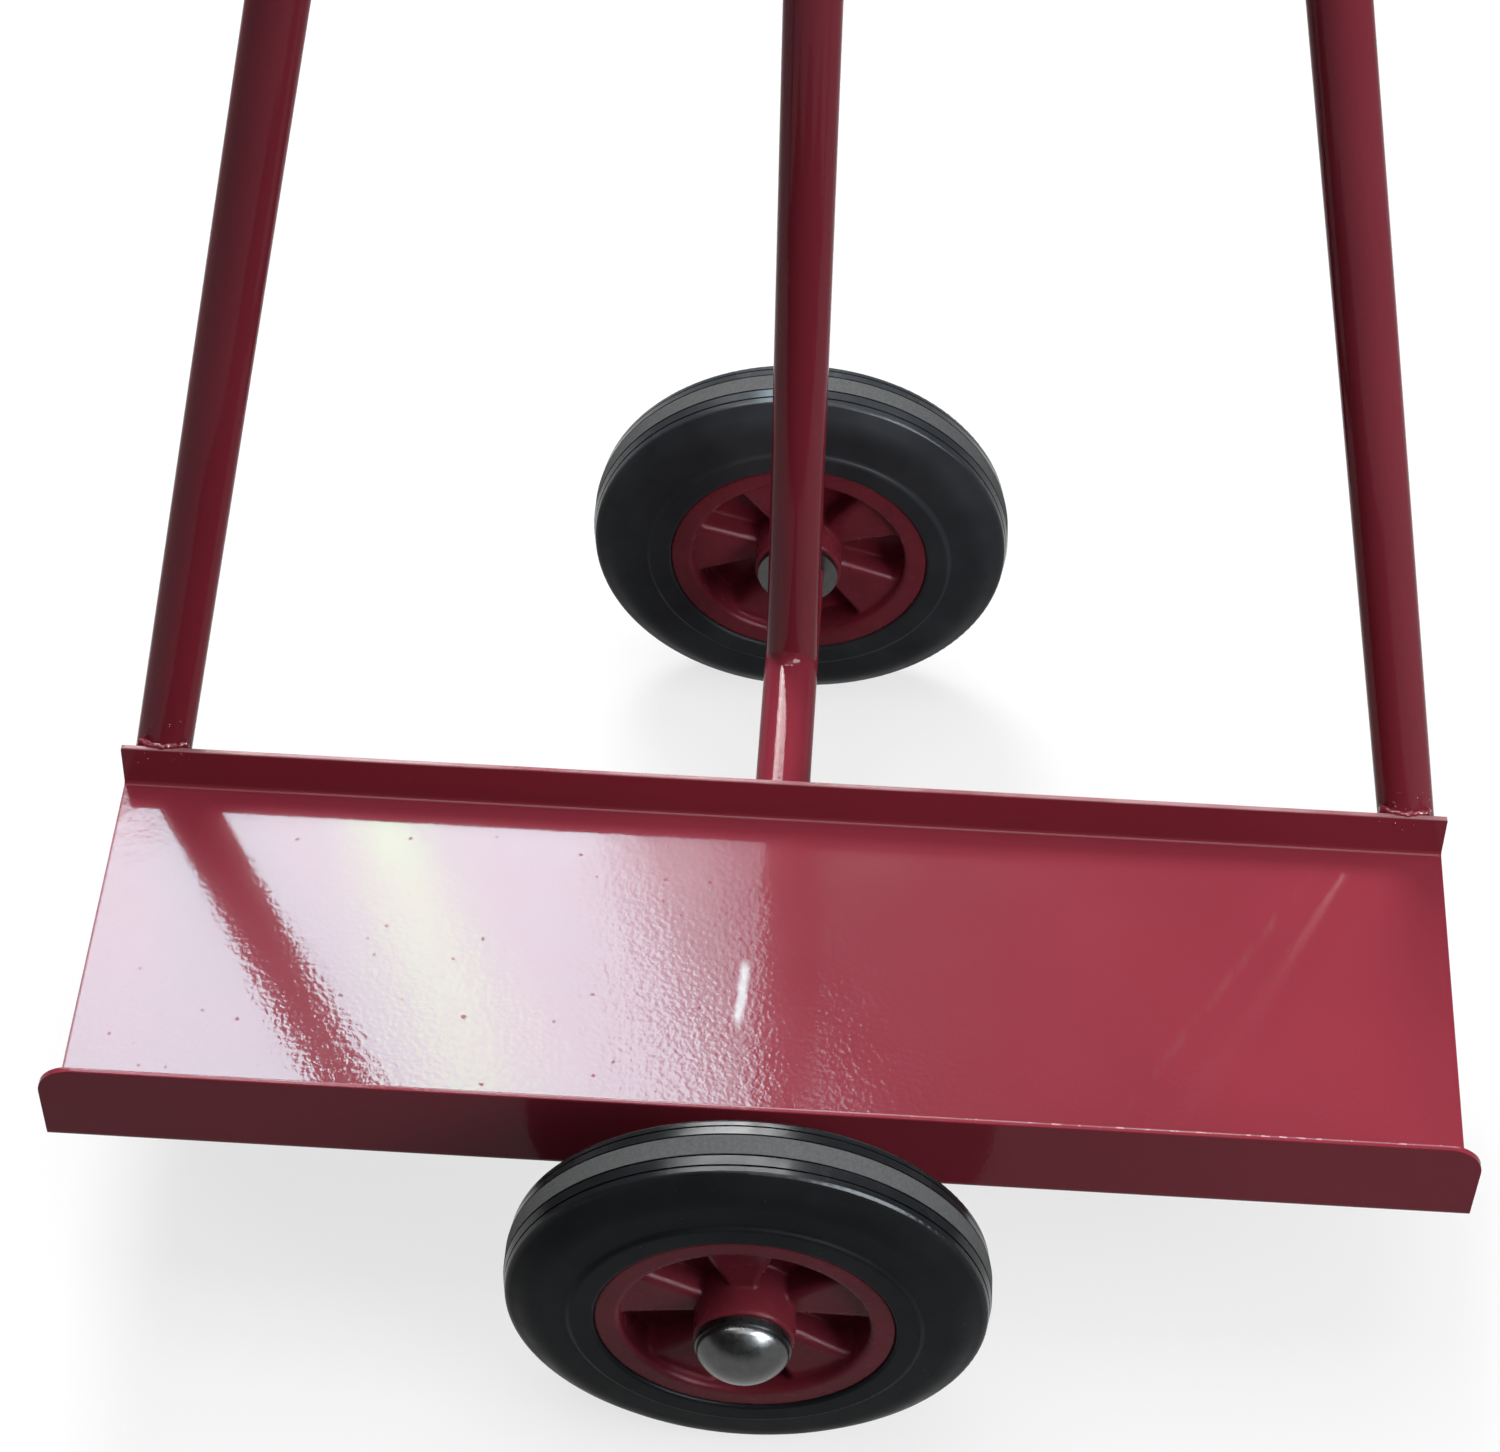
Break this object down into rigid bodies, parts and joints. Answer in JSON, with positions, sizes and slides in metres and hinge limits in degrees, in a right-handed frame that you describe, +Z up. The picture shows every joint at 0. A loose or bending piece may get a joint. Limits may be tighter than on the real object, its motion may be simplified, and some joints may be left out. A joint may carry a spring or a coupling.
{
  "type": "panel cart",
  "caption": "Panel cart with a bent sheet tray on a cross axle, a spoked wheel before and behind the tray, and a leaning tube hoop with a strut as backrest and push handle.",
  "frame": {"origin": "on the floor under the middle of the axle, at the middle of the base", "axes": "+Z up, +X along the tray in the rolling direction, +Y along the axle from the loading side to the hoop side"},
  "size_m": [0.59, 0.5168, 1],
  "materials": {
    "red_paint": "glossy powder coat",
    "red_plastic": "satin moulded",
    "rubber": "satin rubber",
    "steel": "bright drawn",
    "zinc": "zinc plated",
    "black_plastic": "matte moulded"
  },
  "bodies": {
    "frame": {"tray": "red_paint", "back_hoop": "red_paint", "handle_strut": "red_paint", "axle_tube": "red_paint", "axle_bar": "steel", "hoop_welds": "red_paint", "strut_foot_weld": "red_paint", "strut_head_weld": "red_paint", "axle_tube_welds": "red_paint", "front_inner_washer": "zinc", "front_outer_washer": "zinc", "front_hub_cap": "zinc", "rear_inner_washer": "zinc", "rear_outer_washer": "zinc", "rear_hub_cap": "zinc"},
    "front_wheel": {"front_tyre": "rubber", "front_rim": "red_plastic", "front_bearing_sleeve": "steel", "front_bearing_end_rings": "black_plastic"},
    "front_bearing": {"front_roller_cage": "black_plastic", "front_rollers": "steel"},
    "rear_wheel": {"rear_tyre": "rubber", "rear_rim": "red_plastic", "rear_bearing_sleeve": "steel", "rear_bearing_end_rings": "black_plastic"},
    "rear_bearing": {"rear_roller_cage": "black_plastic", "rear_rollers": "steel"}
  },
  "joints": [
    {"name": "front_wheel_spin", "type": "hinge", "parent": "frame", "child": "front_wheel", "pos_m": [0, -0.214, 0.1], "axis": [0, 1, 0], "continuous": true},
    {"name": "front_bearing_spin", "type": "hinge", "parent": "frame", "child": "front_bearing", "pos_m": [0, -0.214, 0.1], "axis": [0, 1, 0], "continuous": true},
    {"name": "rear_wheel_spin", "type": "hinge", "parent": "frame", "child": "rear_wheel", "pos_m": [0, 0.214, 0.1], "axis": [0, 1, 0], "continuous": true},
    {"name": "rear_bearing_spin", "type": "hinge", "parent": "frame", "child": "rear_bearing", "pos_m": [0, 0.214, 0.1], "axis": [0, 1, 0], "continuous": true}
  ],
  "couplings": [
    {"joint": "front_bearing_spin", "follows": "front_wheel_spin", "ratio": 0.6},
    {"joint": "rear_bearing_spin", "follows": "rear_wheel_spin", "ratio": 0.6}
  ]
}
